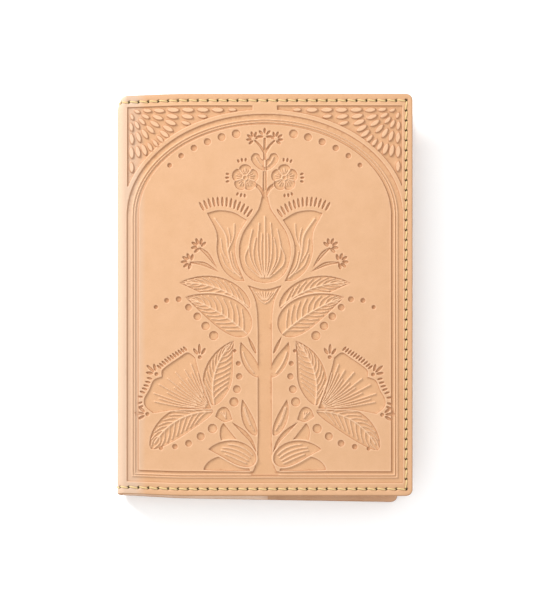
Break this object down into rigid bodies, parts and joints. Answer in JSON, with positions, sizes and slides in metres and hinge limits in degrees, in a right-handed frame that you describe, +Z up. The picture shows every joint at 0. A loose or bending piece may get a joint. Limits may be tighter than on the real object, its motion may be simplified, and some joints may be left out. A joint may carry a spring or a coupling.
{
  "type": "leather notebook cover",
  "caption": "Closed refillable leather notebook cover with a debossed front, saddle-stitched pockets and a slim notebook held by its two boards.",
  "frame": {"origin": "on the underside of the back panel, half-way across and up the front panel", "axes": "+X from the spine to the fore-edge, +Y to the head of the book, +Z up through the closed cover"},
  "size_m": [0.14, 0.1948, 0.0171],
  "materials": {
    "hide": "natural vegetable-tanned, satin",
    "lining_leather": "matt",
    "pocket_leather": "natural, satin",
    "waxed_thread": "waxed",
    "card": "kraft card, matt",
    "paper": "uncoated, matt"
  },
  "bodies": {
    "back_cover": {"outer_back": "hide", "lining_back": "lining_leather", "pocket_back": "pocket_leather", "stitching_back": "waxed_thread", "notebook_back_board": "card", "page_section_6": "paper", "page_section_7": "paper", "page_section_8": "paper"},
    "spine": {"outer_spine": "hide", "lining_spine": "lining_leather", "stitching_spine": "waxed_thread", "notebook_spine_card": "card"},
    "front_cover": {"outer_front": "hide", "lining_front": "lining_leather", "pocket_front": "pocket_leather", "stitching_front": "waxed_thread", "notebook_front_board": "card"},
    "section_1": {"page_section_1": "paper"},
    "section_2": {"page_section_2": "paper"},
    "section_3": {"page_section_3": "paper"},
    "section_4": {"page_section_4": "paper"},
    "section_5": {"page_section_5": "paper"}
  },
  "joints": [
    {"name": "spine_fold", "type": "hinge", "parent": "back_cover", "child": "spine", "pos_m": [-0.07, 0, 0], "axis": [0, -1, 0], "range_deg": [0, 90]},
    {"name": "cover_open", "type": "hinge", "parent": "spine", "child": "front_cover", "pos_m": [-0.07, 0, 0.01715], "axis": [0, -1, 0], "range_deg": [0, 90]},
    {"name": "section_1_turn", "type": "hinge", "parent": "back_cover", "child": "section_1", "pos_m": [-0.0665, 0, 0.00857], "axis": [0, -1, 0], "range_deg": [0, 180]},
    {"name": "section_2_turn", "type": "hinge", "parent": "back_cover", "child": "section_2", "pos_m": [-0.0665, 0, 0.00857], "axis": [0, -1, 0], "range_deg": [0, 177.3]},
    {"name": "section_3_turn", "type": "hinge", "parent": "back_cover", "child": "section_3", "pos_m": [-0.0665, 0, 0.00857], "axis": [0, -1, 0], "range_deg": [0, 173.7]},
    {"name": "section_4_turn", "type": "hinge", "parent": "back_cover", "child": "section_4", "pos_m": [-0.0665, 0, 0.00857], "axis": [0, -1, 0], "range_deg": [0, 169.2]},
    {"name": "section_5_turn", "type": "hinge", "parent": "back_cover", "child": "section_5", "pos_m": [-0.0665, 0, 0.00857], "axis": [0, -1, 0], "range_deg": [0, 7.2]}
  ],
  "couplings": [
    {"joint": "spine_fold", "follows": "cover_open", "ratio": 1},
    {"joint": "section_1_turn", "follows": "cover_open", "ratio": 2},
    {"joint": "section_2_turn", "follows": "cover_open", "ratio": 1.97},
    {"joint": "section_3_turn", "follows": "cover_open", "ratio": 1.93},
    {"joint": "section_4_turn", "follows": "cover_open", "ratio": 1.88},
    {"joint": "section_5_turn", "follows": "cover_open", "ratio": 0.08}
  ]
}
